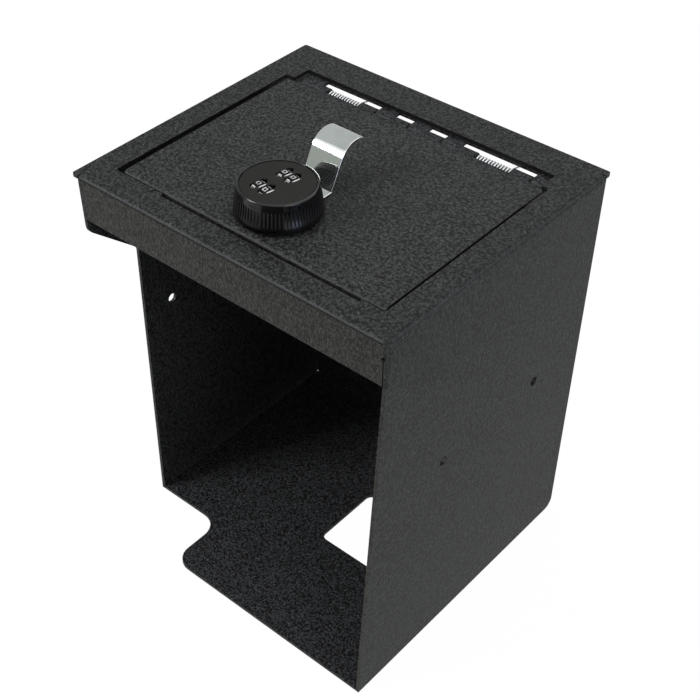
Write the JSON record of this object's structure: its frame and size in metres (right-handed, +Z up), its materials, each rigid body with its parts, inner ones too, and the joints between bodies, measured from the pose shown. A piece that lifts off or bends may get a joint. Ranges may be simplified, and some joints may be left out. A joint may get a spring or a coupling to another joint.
{
  "type": "console safe",
  "caption": "Sheet-steel safe for a vehicle's centre console, with a hinged lid, combination knob and chrome finger pull.",
  "frame": {"origin": "centre of the bounding box at the underside of the floor", "axes": "+X to the right seen from the skirt side, -Y towards the skirt and knob, +Z up through the lid"},
  "size_m": [0.228, 0.212, 0.2932],
  "materials": {
    "case_coat": "fine textured black powder coat",
    "lid_coat": "fine textured black powder coat",
    "chrome": "polished chrome",
    "zinc": "bright zinc plate",
    "spring_steel": "drawn bright spring wire",
    "knob_black": "glossy black, ribbed grip",
    "face_grey": "matt dark grey face",
    "wheel_black": "black wheel with white numbers"
  },
  "bodies": {
    "shell": {"top_shell": "case_coat", "left_wall": "case_coat", "floor_panel": "case_coat", "rear_panel": "case_coat", "hinge_leaf": "case_coat", "hinge_rod": "zinc", "lid_rest_left": "case_coat", "lid_rest_right": "case_coat", "latch_striker": "case_coat"},
    "lid": {"lid_panel": "lid_coat", "lid_hinge_leaf": "case_coat", "pull_tab": "chrome", "lock_housing": "zinc", "lock_washer": "zinc", "lock_nut": "zinc", "torsion_spring_left": "spring_steel", "torsion_spring_right": "spring_steel"},
    "knob": {"knob_body": "knob_black", "knob_face": "face_grey", "wheel_axle_front": "zinc", "wheel_axle_rear": "zinc", "lock_spindle": "zinc", "cam_latch": "zinc", "cam_washer": "zinc", "cam_screw": "zinc"},
    "wheel_1": {"number_wheel_1": "wheel_black"},
    "wheel_2": {"number_wheel_2": "wheel_black"},
    "wheel_3": {"number_wheel_3": "wheel_black"},
    "wheel_4": {"number_wheel_4": "wheel_black"}
  },
  "joints": [
    {"name": "lid_hinge", "type": "hinge", "parent": "shell", "child": "lid", "pos_m": [0, 0.0762, 0.2619], "axis": [-1, 0, 0], "range_deg": [0, 100]},
    {"name": "knob_turn", "type": "hinge", "parent": "lid", "child": "knob", "pos_m": [-0.0005, -0.044, 0.277], "axis": [0, 0, 1], "range_deg": [-79, 11]},
    {"name": "wheel_1_turn", "type": "hinge", "parent": "knob", "child": "wheel_1", "pos_m": [-0.00754, -0.05139, 0.2799], "axis": [0.9816, -0.1908, 0], "continuous": true},
    {"name": "wheel_2_turn", "type": "hinge", "parent": "knob", "child": "wheel_2", "pos_m": [-0.00067, -0.05273, 0.2799], "axis": [0.9816, -0.1908, 0], "continuous": true},
    {"name": "wheel_3_turn", "type": "hinge", "parent": "knob", "child": "wheel_3", "pos_m": [-0.00426, -0.03451, 0.2799], "axis": [0.9816, -0.1908, 0], "continuous": true},
    {"name": "wheel_4_turn", "type": "hinge", "parent": "knob", "child": "wheel_4", "pos_m": [0.00261, -0.03584, 0.2799], "axis": [0.9816, -0.1908, 0], "continuous": true}
  ]
}
